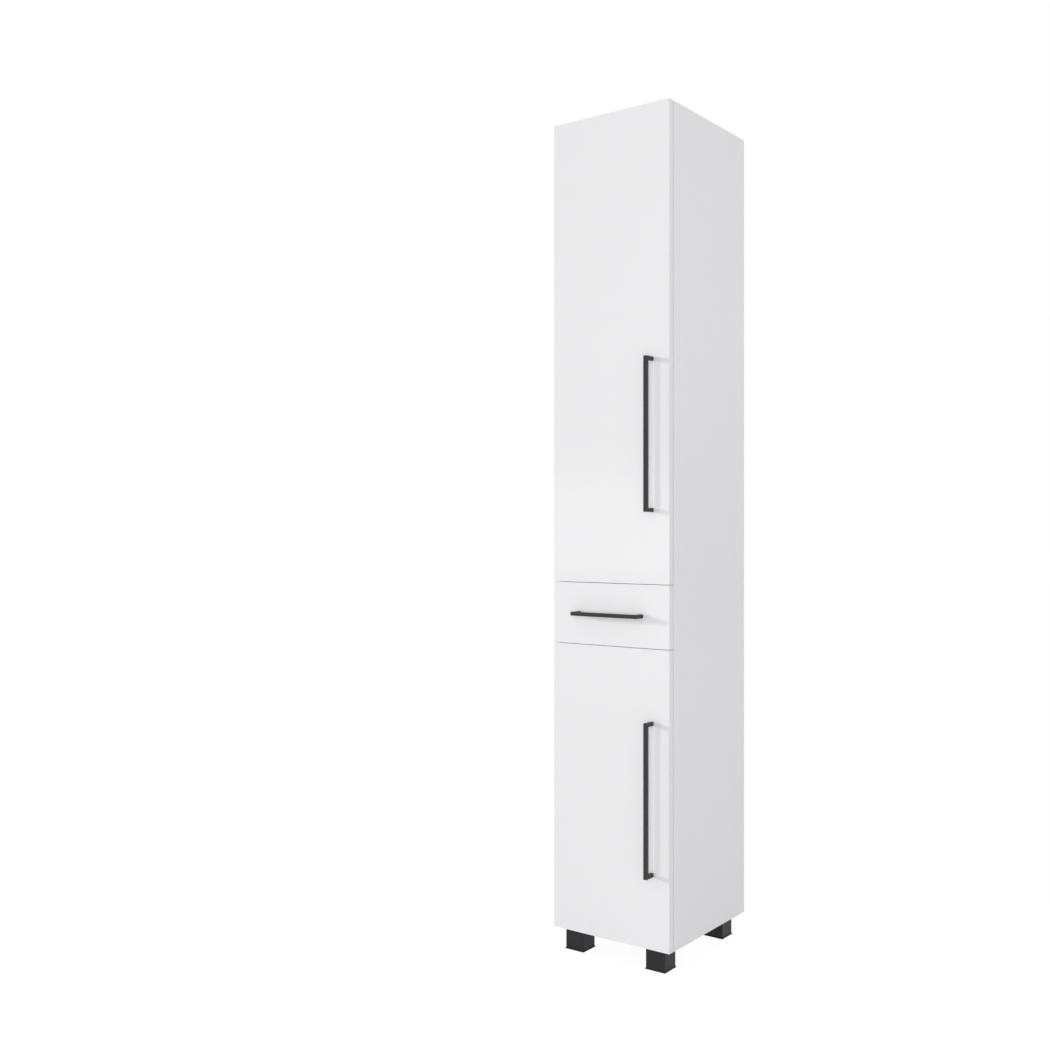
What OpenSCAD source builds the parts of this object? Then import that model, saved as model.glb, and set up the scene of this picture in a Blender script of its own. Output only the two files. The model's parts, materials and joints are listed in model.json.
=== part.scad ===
// Tall bathroom cabinet on four square legs: a lower door, a drawer and an upper door.
// Millimetres, +Z up. The front faces -Y, and the origin is on the floor under the middle
// of the cabinet's outer box. Both doors hang on their left edge.

/* [Overall] */
// Width over the side panels
body_w = 300; // [280:1:450]
// Depth from the front faces of the doors to the back edges
body_d = 350; // [335:1:480]
// Height of the body above the legs
body_h = 1815; // [1700:1:2100]
// Height of the legs
leg_h = 50; // [45:1:120]

/* [Boards] */
// Thickness of the carcass boards and shelves
board_t = 16; // [15:0.5:18]
// Thickness of the doors and the drawer front
front_t = 16; // [15.5:0.5:19]
// Thickness of the back panel and the drawer bottom
hdf_t = 3; // [2.5:0.5:4]
// Depth of the grooves that hold the thin boards
groove_d = 6; // [4:0.5:7]
// Distance from the back panel to the back edges
back_inset = 12; // [8:1:25]
// Radius of the front edges of the side panels
board_r = 1; // [0.5:0.25:1.5]

/* [Fronts] */
// Height of the lower door
lower_door_h = 644; // [560:0.5:700]
// Height of the drawer front
drawer_front_h = 137; // [130:0.5:180]
// Gap between one front and the next
front_gap = 1; // [1:0.1:3]
// Gap between the fronts and the carcass
case_gap = 1.8; // [1.8:0.1:3]
// Radius of the front edges of the doors and the drawer front
front_r = 1.5; // [1:0.25:3]
// Radius of their rear edges
rear_r = 1; // [0.5:0.25:2]
// Radius of the rear edge next to the hinges, which passes the side panel
hinge_r = 4; // [4:0.25:5]

/* [Handles] */
// Length of the door handles
door_handle_l = 332; // [200:1:420]
// Length of the drawer handle
drawer_handle_l = 170; // [120:1:190]
// Thickness of the square handle bar
handle_b = 8.5; // [7:0.5:12]
// Distance from a front to the outer face of its handle
handle_out = 29; // [24:0.5:40]
// Distance from a door's free edge to the middle of its handle
handle_side = 43; // [30:0.5:70]
// Distance from a door's edge next to the drawer to its handle
handle_end = 155; // [60:0.5:180]

/* [Legs] */
// Width of the square legs
leg_w = 47; // [40:0.5:50]
// Wall of the hollow legs
leg_wall = 2.5; // [2:0.25:4]
// Width of the square foot under each leg
foot_w = 50.5; // [45:0.5:54]
// Thickness of the foot
foot_t = 3; // [2:0.5:4]
// Radius of the foot's threaded stud
stud_r = 5; // [4:0.5:6]
// Distance from a side panel's outer face to the middle of a leg
leg_side = 45; // [42:0.5:60]
// Distance from the fronts' faces to the middle of the front legs
leg_front = 40.5; // [38:0.5:60]
// Distance from the back edges to the middle of the back legs
leg_back = 45.5; // [40:0.5:60]

/* [Shelves] */
// Distance from the carcass front to the shelves
shelf_setback = 8; // [4:1:30]
// Distance from the carcass front and back panel to the shelf pins
pin_edge = 45; // [30:1:80]
// Radius of the pegs of the shelf pins
peg_r = 2.5; // [2:0.25:3]

/* [Drawer] */
// Thickness of the drawer box boards
box_t = 12; // [11:0.5:14]
// Height of the drawer box
box_h = 90; // [80:1:100]
// Length of the drawer box
box_l = 300; // [280:1:305]
// Height of the drawer box above the lower divider
box_lift = 12; // [8:1:16]
// Length of the drawer slides
slide_l = 300; // [290:1:305]
// Height of the drawer slides
slide_h = 45; // [42:1:48]
// Thickness of a closed slide, from the side panel to the drawer box
slide_t = 12.7; // [12.5:0.1:14]
// Travel of the drawer
drawer_travel = 280; // [240:5:285]

/* [Hinges] */
// Distance from a door's top and bottom edges to its outer hinges
hinge_end = 100; // [70:1:120]
// Distance of the middle hinge below the middle of the upper door
hinge_drop = 50; // [45:1:60]
// Radius of the hinge cups
cup_r = 17.5; // [17:0.25:17.75]
// Depth of the hinge cups
cup_d = 12; // [11.75:0.25:12.5]
// Wood between a door's hinged edge and the cup
cup_edge = 3; // [3:0.25:3.5]
// Distance from a door's hinged edge to its hinge pins
pivot_edge = 7.5; // [7.5:0.1:7.7]
// Distance from a door's rear face down to its hinge pins
pivot_deep = 8; // [7.9:0.1:8.2]
// Radius of the hinge pins
pin_r = 1.25; // [1:0.05:1.3]
// Distance from the carcass front to the screws of the hinge plates
plate_set = 37; // [35:0.5:40]

/* [Fasteners] */
// Shank radius of the wood screws
screw_r = 1.75; // [1.5:0.05:2]
// Radius of the handle screws
handle_screw_r = 2; // [1.75:0.05:2.25]
// Radius of the hole for a wall screw
wall_hole_r = 3.25; // [2.75:0.25:3.5]

/* [Hidden] */
$fn = 32;
eps = 0.01;
fit = 0.05;
snug = 0.02;
bore_end = 0.5;
hdf_play = 0.5;

// Main planes
half_w = body_w / 2;
in_x = half_w - board_t;
all_d = body_d + handle_out;
front_y = -all_d / 2 + handle_out;
door_back_y = front_y + front_t;
case_y = door_back_y + case_gap;
back_y = front_y + body_d;
panel_y = back_y - back_inset - hdf_t;
case_d = back_y - case_y;
top_z = leg_h + body_h;

// Fronts, from the bottom up
lower_z0 = leg_h;
lower_z1 = lower_z0 + lower_door_h;
drawer_z0 = lower_z1 + front_gap;
drawer_z1 = drawer_z0 + drawer_front_h;
upper_z0 = drawer_z1 + front_gap;
upper_z1 = top_z;
upper_door_h = upper_z1 - upper_z0;
lower_div_z = lower_z1 + front_gap / 2 - board_t / 2;
upper_div_z = drawer_z1 + front_gap / 2 - board_t / 2;

// Shelves
shelf_side_gap = 0.5;
shelf_back_gap = 1;
upper_in_z = upper_div_z + board_t;
upper_bay = (top_z - board_t - upper_in_z - 3 * board_t) / 4;
upper_shelf_z = [for (i = [0:2]) upper_in_z + (i + 1) * upper_bay + i * board_t];
lower_in_z = leg_h + board_t;
lower_shelf_z = (lower_in_z + lower_div_z - board_t) / 2;
shelf_zs = concat(upper_shelf_z, [lower_shelf_z]);
peg_l = 8;
peg_drop = 3.2;
collar_r = 3;
collar_t = 1.5;
tongue_l = 9;
tongue_w = 6;
tongue_t = 2.2;
pin_ys = [case_y + pin_edge, panel_y - pin_edge];

// Cam fittings and dowels at the ends of the four fixed boards
fixed_zs = [leg_h, lower_div_z, upper_div_z, top_z - board_t];
cam_r = 7.4;
cam_h = 13;
cam_reach = 24;
cam_play = 0.1;
cam_slot_l = 8;
cam_slot_w = 1.2;
cam_slot_d = 1.8;
bolt_in = 10.5;
bolt_thread_r = 2.5;
bolt_shank_r = 3;
bolt_head_r = 3.5;
bolt_head_l = 4;
bolt_neck_r = 2;
bolt_neck_l = 5;
dowel_r = 4;
dowel_l = 30;
dowel_in = 10;
cam_front = 50;
cam_back = 60;
cam_pitch = 32;
cam_ys = [case_y + cam_front, panel_y - cam_back];
dowel_ys = [case_y + cam_front + cam_pitch, panel_y - cam_back - cam_pitch];

// Legs: the plate on top of each leg, the boss for the stud and the screws through the plate
leg_plate = 3;
boss_r = stud_r + 3;
foot_play = 0.3;
rib_lift = 4;
stud_top = 6;
leg_screw_off = 14;
leg_screw_l = 15;
leg_x = half_w - leg_side;
front_leg_y = front_y + leg_front;
back_leg_y = back_y - leg_back;
leg_spots = [[-leg_x, front_leg_y], [leg_x, front_leg_y], [-leg_x, back_leg_y], [leg_x, back_leg_y]];
leg_screw_spots = [for (p = leg_spots) for (i = [-1, 1]) for (j = [-1, 1])
  [p[0] + i * leg_screw_off, p[1] + j * leg_screw_off]];

// Wall brackets inside, under the top board
bracket_t = 2;
bracket_w = 20;
bracket_l = 34;
bracket_x = 70;
bracket_screw = 22;
bracket_screw_dx = 5;
bracket_hole = 20;
wall_hole_z = top_z - board_t - bracket_hole;

// Screws and their cross recesses
head_r = 3.4;
head_h = 2;
short_screw_l = 14;
screw_tip = 2;
tip_r = 0.4;
cross_l = 3.4;
cross_w = 0.6;
cross_d = 1;

// Hinges. Each cup swings on its pin about the end of a hooked arm.
pivot_x = -half_w + pivot_edge;
pivot_y = door_back_y - pivot_deep;
cup_x = -half_w + cup_edge + cup_r;
cup_wall = 1;
cup_play = 0.1;
cup_screw_dz = 22.5;
cup_screw_dx = 9.5;
cup_screw_l = 12;
flange_t = 1.2;
flange_cut = 8;
flange_w = 29;
flange_h = 62;
eye_r = 2.5;
arm_t = 2;
hook_w = 9;
hook_drop = 0.2;
hook_neck_l = 11;
hook_rise = pivot_edge + hook_neck_l;
arm_w = 14;
arm_top = 10;
arm_y0 = 10;
arm_l = 52;
arm_skirt = 7;
skirt_t = 1.5;
plate_t = 2;
plate_h = 46;
plate_l = 14;
plate_pitch = 32;
block_w = 9;
block_l = 36;
arm_fix_y = 9;
arm_adjust_y = -9;
arm_screw_r = 2;
arm_screw_head_r = 3.2;
arm_screw_head_h = 1.5;
arm_screw_end = 2;
upper_hinge_zs = [upper_z0 + hinge_end, (upper_z0 + upper_z1) / 2 - hinge_drop, upper_z1 - hinge_end];
lower_hinge_zs = [lower_z0 + hinge_end, lower_z1 - hinge_end];
hinge_zs = concat(upper_hinge_zs, lower_hinge_zs);

// Handles
post_in = 7;
handle_head_r = 4;
handle_head_h = 2.2;
door_handle_x = half_w - handle_side;
door_post_pitch = door_handle_l - handle_b;
drawer_post_pitch = drawer_handle_l - handle_b;
upper_handle_z = upper_z0 + handle_end + door_handle_l / 2;
lower_handle_z = lower_z1 - handle_end - door_handle_l / 2;
drawer_handle_z = (drawer_z0 + drawer_z1) / 2;

// Bumpers
bumper_r = 4;
bumper_clear = 0.3;
bumper_edge = 8;
bumper_end = 20;

// Drawer box and its slides
box_z = lower_div_z + board_t + box_lift;
box_w = 2 * (in_x - slide_t);
bottom_lift = 10;
box_groove = 5;
box_screw_l = 30;
box_screw_top = 10;
front_screw_l = 25;
front_screw_x = 40;
front_screw_z = 20;
access_r = 6;
slide_set = 2;
slide_y = case_y + slide_set;
slide_drop = 12;
slide_z = box_z + box_h / 2 - slide_drop;
sheet_t = 1.2;
slide_clear = 0.4;
flange_thin = 1.6;
flange_thick = 2.4;
ball_r = 1.8;
race_clear = 0.3;
race_set = 1.6;
outer_depth = 9.6;
cage_t = 0.4;
cage_rib = 1.2;
cage_tip = 0.8;
member_step = sheet_t + 2 * slide_clear + cage_t;
middle_x0 = member_step;
middle_x1 = 10.4;
inner_x0 = 2 * member_step;
race1_x = 6.4;
race2_x = 7.6;
race1_z = slide_h / 2 - flange_thin - race_set;
middle_z = race1_z - race_set;
race2_z = middle_z - flange_thick - race_set;
inner_z = race2_z - race_set;
cage_l = 120;
cage_set = drawer_travel / 4;
ball_count = 6;
ball_pitch = 20;
slide_screw_ys = [37, 149, 261];
inner_screw_ys = [52, 134, 246];
slide_screw_l = 12;
inner_screw_l = 9;
flat_head_r = 3.2;
flat_head_h = 1.5;

white = [0.95, 0.95, 0.96];
board_brown = [0.72, 0.6, 0.45];
steel = [0.72, 0.73, 0.75];
zinc = [0.6, 0.61, 0.63];
matt_black = [0.18, 0.18, 0.19];
clear_soft = [0.85, 0.87, 0.88];
cage_plastic = [0.93, 0.93, 0.9];

// Copies for the left and the right half
module both_sides() {
  children();
  mirror([1, 0, 0]) children();
}

// Extrudes a profile drawn in X and Z towards +Y
module along_y(y0, len) {
  translate([0, y0 + len, 0]) rotate([90, 0, 0]) linear_extrude(len) children();
}

// Extrudes a profile drawn in Y and Z towards +X
module along_x(x0, len) {
  translate([x0, 0, 0]) rotate([90, 0, 90]) linear_extrude(len) children();
}

// A round hole or rod along +X, +Y or +Z, from a point
module rod_x(p, r, len) {
  translate(p) rotate([0, 90, 0]) cylinder(h = len, r = r);
}
module rod_y(p, r, len) {
  translate(p) rotate([-90, 0, 0]) cylinder(h = len, r = r);
}
module rod_z(p, r, len) {
  translate(p) cylinder(h = len, r = r);
}

// Wood screw pointing along +Z, with the underside of its pan head at z = 0
module pan_screw(len, r = screw_r) {
  difference() {
    translate([0, 0, -head_h]) cylinder(h = head_h, r = head_r);
    cross_recess(-head_h);
  }
  cylinder(h = len - screw_tip, r = r);
  translate([0, 0, len - screw_tip]) cylinder(h = screw_tip, r1 = r, r2 = tip_r);
}

// Wood screw pointing along +Z, with the top of its flat countersunk head at z = 0
module flat_screw(len, r = screw_r) {
  difference() {
    cylinder(h = flat_head_h, r1 = flat_head_r, r2 = r);
    cross_recess(0);
  }
  translate([0, 0, flat_head_h]) cylinder(h = len - flat_head_h - screw_tip, r = r);
  translate([0, 0, len - screw_tip]) cylinder(h = screw_tip, r1 = r, r2 = tip_r);
}

// Space for a flat screw: the cone of its head and its shank
module flat_screw_hole(len, r = screw_r) {
  cylinder(h = flat_head_h + snug, r1 = flat_head_r + snug, r2 = r + snug);
  cylinder(h = len + bore_end, r = r + snug);
  translate([0, 0, -2]) cylinder(h = 2 + eps, r = flat_head_r + snug);
}

// Cross for a screwdriver, cut down from a head's top at z
module cross_slot(z, l, w, d) {
  for (a = [0, 90]) rotate([0, 0, a]) translate([-l / 2, -w / 2, z]) cube([l, w, d]);
}
module cross_recess(z) { cross_slot(z - eps, cross_l, cross_w, cross_d + eps); }

// Outline of a front in plan or section: rounded corners in front, and rear corners of r0 and r1
module front_outline(w, r0, r1) {
  deep = max(r0, r1);
  translate([-w / 2 + front_r, 0]) square([w - 2 * front_r, front_t - deep]);
  translate([-w / 2, front_r]) square([w, front_t - front_r - deep]);
  translate([-w / 2 + r0, front_t / 2]) square([w - r0 - r1, front_t / 2]);
  for (s = [-1, 1]) {
    r = s < 0 ? r0 : r1;
    translate([s * (w / 2 - front_r), front_r]) circle(r = front_r);
    translate([s * (w / 2 - r), front_t - r]) circle(r = r);
    translate([s > 0 ? w / 2 - deep : -w / 2, front_t / 2]) square([deep, front_t / 2 - r]);
  }
}

// A door or drawer front with soft edges all round, from z0 to z0 + h
module front_board(z0, h, left_r = rear_r) {
  intersection() {
    translate([0, front_y, z0]) linear_extrude(h) front_outline(body_w, left_r, rear_r);
    translate([0, front_y, z0 + h / 2]) along_x(-half_w, body_w) mirror([1, -1])
      front_outline(h, rear_r, rear_r);
  }
}

// Places of the screws that hold the wall brackets to the top board
bracket_screw_spots = [for (s = [-1, 1]) for (d = [-1, 1])
  [s * bracket_x + d * bracket_screw_dx, panel_y - bracket_screw]];

// Holes in the inner face of a side panel, drawn for the left one
module side_holes() {
  for (z = fixed_zs) {
    for (y = cam_ys) rod_x([-in_x - bolt_in - bore_end, y, z + board_t / 2],
      bolt_thread_r + snug, bolt_in + 1);
    for (y = dowel_ys) rod_x([-in_x - dowel_in - bore_end, y, z + board_t / 2],
      dowel_r + snug, dowel_in + 1);
  }
  for (z = shelf_zs) for (y = pin_ys)
    rod_x([-in_x - peg_l - bore_end, y, z - peg_drop], peg_r + snug, peg_l + 1);
  slide_screw_places() flat_screw_hole(slide_screw_l);
  translate([-in_x - groove_d, panel_y, leg_h + board_t - groove_d])
    cube([groove_d + 1, hdf_t, body_h - 2 * board_t + 2 * groove_d]);
}

// Places of the screws of the left outer slide, pointing into the side panel
module slide_screw_places() {
  for (y = slide_screw_ys) translate([-in_x + sheet_t, slide_y + y, slide_z])
    rotate([0, -90, 0]) children();
}

// Places of the screws of the left inner slide, pointing into the drawer box
module inner_screw_places() {
  for (y = inner_screw_ys) translate([-in_x + slide_t - sheet_t, slide_y + y, slide_z])
    rotate([0, 90, 0]) children();
}

// Places of the screws of the hinge plates, pointing into the left side panel
module plate_screw_places() {
  for (z = hinge_zs) for (s = [-1, 1])
    translate([-in_x + plate_t, case_y + plate_set, z + s * plate_pitch / 2])
      rotate([0, -90, 0]) children();
}

module side_board() {
  translate([-half_w, case_y, leg_h]) linear_extrude(body_h) {
    translate([board_r, 0]) square([board_t - 2 * board_r, case_d]);
    translate([0, board_r]) square([board_t, case_d - board_r]);
    for (x = [board_r, board_t - board_r]) translate([x, board_r]) circle(r = board_r);
  }
}

module left_side() {
  color(white) difference() {
    side_board();
    side_holes();
    plate_screw_places() cylinder(h = short_screw_l + bore_end, r = screw_r + snug);
  }
}

module right_side() {
  color(white) mirror([1, 0, 0]) difference() {
    side_board();
    side_holes();
  }
}

// A fixed board between the side panels, with its cam pockets and end bores
module fixed_board(z, depth) {
  difference() {
    translate([-in_x, case_y, z]) cube([2 * in_x, depth, board_t]);
    both_sides() {
      for (y = cam_ys) {
        rod_z([-in_x + cam_reach, y, z - 1], cam_r + cam_play, cam_h + 1.5);
        rod_x([-in_x - 1, y, z + board_t / 2], bolt_head_r + fit, cam_reach + 1);
      }
      for (y = dowel_ys)
        rod_x([-in_x - 1, y, z + board_t / 2], dowel_r + snug, dowel_l - dowel_in + 1.5);
    }
  }
}

module top_panel() {
  color(white) difference() {
    fixed_board(top_z - board_t, case_d);
    translate([-in_x - 1, panel_y, top_z - board_t - 1]) cube([2 * in_x + 2, hdf_t, groove_d + 1]);
    for (p = bracket_screw_spots) rod_z([p[0], p[1], top_z - board_t - 1], screw_r + snug, short_screw_l);
  }
}

module bottom_panel() {
  color(white) difference() {
    fixed_board(leg_h, case_d);
    translate([-in_x - 1, panel_y, leg_h + board_t - groove_d]) cube([2 * in_x + 2, hdf_t, groove_d + 1]);
    for (p = leg_screw_spots) rod_z([p[0], p[1], leg_h - 1], screw_r + snug, leg_screw_l - leg_plate + 1.5);
  }
}

module upper_divider() {
  color(white) fixed_board(upper_div_z, panel_y - case_y);
}

module lower_divider() {
  color(white) fixed_board(lower_div_z, panel_y - case_y);
}

module back_panel() {
  w = 2 * (in_x + groove_d - hdf_play);
  z0 = leg_h + board_t - groove_d + hdf_play;
  color(white) difference() {
    translate([-w / 2, panel_y, z0]) cube([w, hdf_t, top_z - board_t + groove_d - hdf_play - z0]);
    both_sides() rod_y([bracket_x, panel_y - 1, wall_hole_z], wall_hole_r, hdf_t + 2);
  }
}

module shelf(z) {
  y0 = case_y + shelf_setback;
  color(white) translate([-in_x + shelf_side_gap, y0, z])
    cube([2 * (in_x - shelf_side_gap), panel_y - shelf_back_gap - y0, board_t]);
}
module upper_shelf_1() { shelf(upper_shelf_z[0]); }
module upper_shelf_2() { shelf(upper_shelf_z[1]); }
module upper_shelf_3() { shelf(upper_shelf_z[2]); }
module lower_shelf() { shelf(lower_shelf_z); }

// Peg in the side panel, a collar, and a flat tongue under the shelf
module shelf_pins() {
  color(zinc) both_sides() for (z = shelf_zs) for (y = pin_ys) {
    rod_x([-in_x - peg_l, y, z - peg_drop], peg_r, peg_l + collar_t);
    rod_x([-in_x, y, z - peg_drop], collar_r, collar_t);
    translate([-in_x, y - tongue_w / 2, z - tongue_t]) cube([tongue_l, tongue_w, tongue_t]);
  }
}

// Threaded into the side panel, with a neck and a round head that the cam pulls on
module cam_bolts() {
  color(zinc) both_sides() for (z = fixed_zs) for (y = cam_ys) translate([-in_x, y, z + board_t / 2]) {
    neck_x = cam_reach - bolt_head_l / 2 - bolt_neck_l;
    rod_x([-bolt_in, 0, 0], bolt_thread_r, bolt_in + eps);
    rod_x([0, 0, 0], bolt_shank_r, neck_x);
    rod_x([0, 0, 0], bolt_neck_r, cam_reach);
    rod_x([neck_x + bolt_neck_l, 0, 0], bolt_head_r - fit, bolt_head_l / 2 + 1);
  }
}

module cam_locks() {
  color(zinc) both_sides() for (z = fixed_zs) for (y = cam_ys) translate([-in_x + cam_reach, y, z])
    difference() {
      cylinder(h = cam_h, r = cam_r);
      rod_x([-cam_r - 1, 0, board_t / 2], bolt_head_r + fit, cam_r + 1 + bolt_head_r);
      cross_slot(-eps, cam_slot_l, cam_slot_w, cam_slot_d);
    }
}

module dowels() {
  color(board_brown) both_sides() for (z = fixed_zs) for (y = dowel_ys)
    rod_x([-in_x - dowel_in, y, z + board_t / 2], dowel_r, dowel_l);
}

// Steel angles under the top board: the wall screw passes through them and the back panel
module wall_brackets() {
  z1 = top_z - board_t;
  color(zinc) both_sides() difference() {
    union() {
      translate([bracket_x - bracket_w / 2, panel_y - bracket_l, z1 - bracket_t])
        cube([bracket_w, bracket_l, bracket_t]);
      translate([bracket_x - bracket_w / 2, panel_y - bracket_t, z1 - bracket_l])
        cube([bracket_w, bracket_t, bracket_l]);
    }
    rod_y([bracket_x, panel_y - bracket_t - 1, wall_hole_z], wall_hole_r, bracket_t + 2);
    for (s = [-1, 1]) rod_z([bracket_x + s * bracket_screw_dx, panel_y - bracket_screw, z1 - bracket_t - 1],
      screw_r + fit, bracket_t + 2);
  }
}

// Screws that hold the legs, wall brackets, hinge plates and outer slides to the boards
module case_screws() {
  color(zinc) {
    for (p = leg_screw_spots) translate([p[0], p[1], leg_h - leg_plate]) pan_screw(leg_screw_l);
    for (p = bracket_screw_spots) translate([p[0], p[1], top_z - board_t - bracket_t])
      pan_screw(short_screw_l);
    plate_screw_places() pan_screw(short_screw_l);
    both_sides() slide_screw_places() flat_screw(slide_screw_l);
  }
}

// Hollow leg with a plate on top and a boss inside for the foot's stud
module leg(i) {
  p = leg_spots[i];
  z0 = foot_t + foot_play;
  inner = leg_w - 2 * leg_wall;
  color(matt_black) translate([p[0], p[1], 0]) difference() {
    translate([-leg_w / 2, -leg_w / 2, z0]) cube([leg_w, leg_w, leg_h - z0]);
    difference() {
      translate([-inner / 2, -inner / 2, z0 - 1]) cube([inner, inner, leg_h - leg_plate - z0 + 1]);
      rod_z([0, 0, z0], boss_r, leg_h);
      for (a = [0, 90]) rotate([0, 0, a]) translate([-leg_w / 2, -leg_wall / 2, z0 + rib_lift])
        cube([leg_w, leg_wall, leg_h]);
    }
    rod_z([0, 0, z0 - 1], stud_r + fit, leg_h - leg_plate - stud_top / 2 - z0 + 1);
    for (sx = [-1, 1]) for (sy = [-1, 1])
      rod_z([sx * leg_screw_off, sy * leg_screw_off, leg_h - leg_plate - 1], screw_r + fit, leg_plate + 2);
  }
}
module front_left_leg() { leg(0); }
module front_right_leg() { leg(1); }
module back_left_leg() { leg(2); }
module back_right_leg() { leg(3); }

// Square foot on a stud that screws out of the leg
module foot(i) {
  p = leg_spots[i];
  color(matt_black) translate([p[0], p[1], 0]) {
    translate([-foot_w / 2, -foot_w / 2, 0]) cube([foot_w, foot_w, foot_t]);
    rod_z([0, 0, foot_t - eps], stud_r, leg_h - leg_plate - stud_top - foot_t);
  }
}
module front_left_foot() { foot(0); }
module front_right_foot() { foot(1); }
module back_left_foot() { foot(2); }
module back_right_foot() { foot(3); }

// Plate with two wings for its screws and a raised block under the arm
module hinge_plates() {
  color(zinc) for (z = hinge_zs) translate([-in_x, case_y + plate_set, z]) difference() {
    union() {
      translate([0, -plate_l / 2, -plate_h / 2]) cube([plate_t, plate_l, plate_h]);
      translate([0, -block_l / 2, -block_w / 2]) cube([arm_top - arm_t, block_l, block_w]);
    }
    for (s = [-1, 1]) rod_x([-1, 0, s * plate_pitch / 2], screw_r + fit, plate_t + 2);
    for (y = [arm_fix_y, arm_adjust_y]) rod_x([1, y, 0], arm_screw_r + snug, arm_top);
  }
}

// Hooked arm: an eye on the pin, a neck along the cup's floor, a riser out of the cup,
// and a channel over the hinge plate
module hinge_arm(z) {
  x_rise = -half_w + hook_rise;
  neck_y = pivot_y - hook_drop - arm_t;
  riser_h = case_y + arm_y0 + arm_t - neck_y;
  web_x = -in_x + arm_top - arm_t;
  difference() {
    union() {
      translate([0, 0, z - hook_w / 2]) {
        translate([pivot_x, pivot_y, 0]) cylinder(h = hook_w, r = eye_r);
        translate([pivot_x, neck_y, 0]) cube([x_rise + arm_t - pivot_x, arm_t, hook_w]);
        translate([x_rise, neck_y, 0]) cube([arm_t, riser_h, hook_w]);
        translate([x_rise, case_y + arm_y0, 0]) cube([web_x + arm_t - x_rise, arm_t, hook_w]);
      }
      translate([web_x, case_y + arm_y0, z - arm_w / 2]) cube([arm_t, arm_l, arm_w]);
      for (dz = [-arm_w / 2, arm_w / 2 - skirt_t])
        translate([web_x + arm_t - arm_skirt, case_y + arm_y0 + arm_t, z + dz])
          cube([arm_skirt, arm_l - arm_t, skirt_t]);
    }
    rod_z([pivot_x, pivot_y, z - hook_w], pin_r + fit, 2 * hook_w);
    for (y = [arm_fix_y, arm_adjust_y])
      rod_x([web_x - 1, case_y + plate_set + y, z], arm_screw_r + fit, arm_t + 2);
  }
}
module upper_hinge_arms() { color(steel) for (z = upper_hinge_zs) hinge_arm(z); }
module lower_hinge_arms() { color(steel) for (z = lower_hinge_zs) hinge_arm(z); }

module hinge_arm_screws() {
  color(zinc) for (z = hinge_zs) for (y = [arm_fix_y, arm_adjust_y])
    translate([-in_x + arm_top, case_y + plate_set + y, z]) rotate([0, -90, 0]) {
      difference() {
        translate([0, 0, -arm_screw_head_h]) cylinder(h = arm_screw_head_h, r = arm_screw_head_r);
        cross_recess(-arm_screw_head_h);
      }
      cylinder(h = arm_top - arm_screw_end, r = arm_screw_r);
    }
}

// Round cup let into the door, with a screwed flange and two holes for the pin
module hinge_cup(z) {
  translate([cup_x, door_back_y, z]) difference() {
    union() {
      rod_y([0, -cup_d, 0], cup_r, cup_d);
      translate([-cup_r + flange_cut, 0, -flange_h / 2]) cube([flange_w, flange_t, flange_h]);
    }
    rod_y([0, -cup_d + cup_wall, 0], cup_r - cup_wall, cup_d + flange_t);
    for (s = [-1, 1]) rod_y([cup_screw_dx, -1, s * cup_screw_dz], screw_r + fit, flange_t + 2);
    rod_z([pivot_x - cup_x, -pivot_deep, -cup_r], pin_r, 2 * cup_r);
  }
}
module upper_hinge_cups() { color(steel) for (z = upper_hinge_zs) hinge_cup(z); }
module lower_hinge_cups() { color(steel) for (z = lower_hinge_zs) hinge_cup(z); }

// A pin's ends are flush with the outside of its cup
module hinge_pin(z) {
  intersection() {
    rod_z([pivot_x, pivot_y, z - cup_r], pin_r, 2 * cup_r);
    rod_y([cup_x, door_back_y - cup_d, z], cup_r, cup_d);
  }
}
module upper_hinge_pins() { color(zinc) for (z = upper_hinge_zs) hinge_pin(z); }
module lower_hinge_pins() { color(zinc) for (z = lower_hinge_zs) hinge_pin(z); }

// Screws of one cup's flange, pointing into the door
module cup_screws(z) {
  for (s = [-1, 1]) translate([cup_x + cup_screw_dx, door_back_y + flange_t, z + s * cup_screw_dz])
    rotate([90, 0, 0]) pan_screw(cup_screw_l);
}
module upper_cup_screws() { color(zinc) for (z = upper_hinge_zs) cup_screws(z); }
module lower_cup_screws() { color(zinc) for (z = lower_hinge_zs) cup_screws(z); }

// Door with its cup recesses, flange screw holes and handle screw holes
module door(z0, h, zs, handle_z) {
  color(white) difference() {
    front_board(z0, h, hinge_r);
    for (z = zs) {
      rod_y([cup_x, door_back_y - cup_d, z], cup_r + cup_play, cup_d + 1);
      for (s = [-1, 1]) rod_y([cup_x + cup_screw_dx, door_back_y - cup_screw_l, z + s * cup_screw_dz],
        screw_r + snug, cup_screw_l + 1);
    }
    for (s = [-1, 1]) rod_y([door_handle_x, front_y - 1, handle_z + s * door_post_pitch / 2],
      handle_screw_r + fit, front_t + 2);
  }
}
module upper_door() { door(upper_z0, upper_door_h, upper_hinge_zs, upper_handle_z); }
module lower_door() { door(lower_z0, lower_door_h, lower_hinge_zs, lower_handle_z); }

// Square bar with a post at each end, standing up and centred on the origin's height
module bar_handle(len) {
  difference() {
    union() {
      translate([-handle_b / 2, front_y - handle_out, -len / 2]) cube([handle_b, handle_b, len]);
      for (z = [-len / 2, len / 2 - handle_b]) translate([-handle_b / 2, front_y - handle_out, z])
        cube([handle_b, handle_out, handle_b]);
    }
    for (s = [-1, 1]) rod_y([0, front_y - post_in, s * (len - handle_b) / 2],
      handle_screw_r + snug, post_in + 1);
  }
}
module door_handle(z) { color(matt_black) translate([door_handle_x, 0, z]) bar_handle(door_handle_l); }
module upper_handle() { door_handle(upper_handle_z); }
module lower_handle() { door_handle(lower_handle_z); }
module drawer_handle() {
  color(matt_black) translate([0, 0, drawer_handle_z]) rotate([0, 90, 0]) bar_handle(drawer_handle_l);
}

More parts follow.
